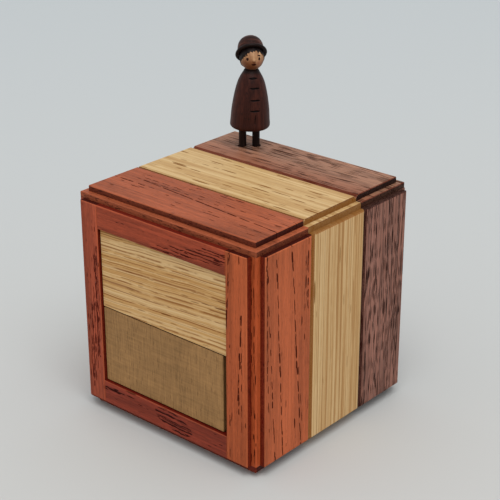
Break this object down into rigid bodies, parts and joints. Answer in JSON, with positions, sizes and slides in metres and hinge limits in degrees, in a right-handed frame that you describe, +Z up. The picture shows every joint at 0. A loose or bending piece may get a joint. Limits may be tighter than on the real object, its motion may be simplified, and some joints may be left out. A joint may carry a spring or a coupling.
{
  "type": "jack in the box",
  "caption": "Cube-shaped wooden trick box in striped woods with stepped edges, drawers behind a front frame and a sprung peg figure on top that locks the drawers when pushed down.",
  "frame": {"origin": "middle of the face that the box stands on", "axes": "+Z up through the box, -Y out of the framed front, +X to the right seen from the front"},
  "size_m": [0.101, 0.101, 0.1505],
  "materials": {
    "padauk": "oiled satin, open pores",
    "oak": "oiled satin, straight grain",
    "walnut": "oiled satin, dark pores",
    "olive_wood": "smooth oiled satin",
    "inner_wood": "plain sanded",
    "coat_wood": "turned, waxed",
    "black_wood": "stained dark, waxed",
    "face_wood": "turned, waxed",
    "spring_steel": "plain wire",
    "bright_steel": "plated"
  },
  "bodies": {
    "box": {"back_board": "walnut", "bay_ceiling": "inner_wood", "bay_deck": "inner_wood", "bay_shelf": "inner_wood", "bay_wall_left": "inner_wood", "bay_wall_right": "inner_wood", "bottom_board_oak": "oak", "bottom_board_padauk": "padauk", "bottom_board_walnut": "walnut", "drawer_stop_lower": "inner_wood", "drawer_stop_upper": "inner_wood", "front_rail_bottom": "padauk", "front_rail_top": "padauk", "front_stile_left": "padauk", "front_stile_right": "padauk", "guide_shelf": "inner_wood", "hold_magnet": "bright_steel", "lower_runner": "inner_wood", "magnet_post": "inner_wood", "partition": "inner_wood", "post_front_left": "padauk", "post_front_right": "padauk", "post_rear_left": "walnut", "post_rear_right": "walnut", "side_left_oak": "oak", "side_left_padauk": "padauk", "side_left_walnut": "walnut", "side_right_oak": "oak", "side_right_padauk": "padauk", "side_right_walnut": "walnut", "spring": "spring_steel", "top_board_oak": "oak", "top_board_padauk": "padauk", "top_board_walnut": "walnut"},
    "jack": {"leg_left": "black_wood", "leg_right": "black_wood", "coat": "coat_wood", "collar": "black_wood", "head": "face_wood", "hair": "black_wood", "hat": "coat_wood", "lifter_block": "inner_wood", "lock_stem": "inner_wood", "lock_collar": "inner_wood", "strike_disc": "bright_steel"},
    "upper_drawer": {"upper_drawer_back": "inner_wood", "upper_drawer_bottom": "inner_wood", "upper_drawer_fork_bars": "inner_wood", "upper_drawer_fork_catches": "inner_wood", "upper_drawer_front": "oak", "upper_drawer_side_left": "inner_wood", "upper_drawer_side_right": "inner_wood"},
    "lower_drawer": {"lower_drawer_back": "inner_wood", "lower_drawer_bottom": "inner_wood", "lower_drawer_fork_bar_rear": "inner_wood", "lower_drawer_fork_bars": "inner_wood", "lower_drawer_front": "olive_wood", "lower_drawer_side_left": "inner_wood", "lower_drawer_side_right": "inner_wood"}
  },
  "joints": [
    {"name": "jack_press", "type": "slide", "parent": "box", "child": "jack", "axis": [0, 0, 1], "range_m": [-0.008, 0], "stiffness_N_per_m": 60, "springref_m": 0.012, "deforming": ["spring"]},
    {"name": "upper_drawer_slide", "type": "slide", "parent": "box", "child": "upper_drawer", "axis": [0, -1, 0], "range_m": [0, 0.0495]},
    {"name": "lower_drawer_slide", "type": "slide", "parent": "box", "child": "lower_drawer", "axis": [0, -1, 0], "range_m": [0, 0.0495]}
  ]
}
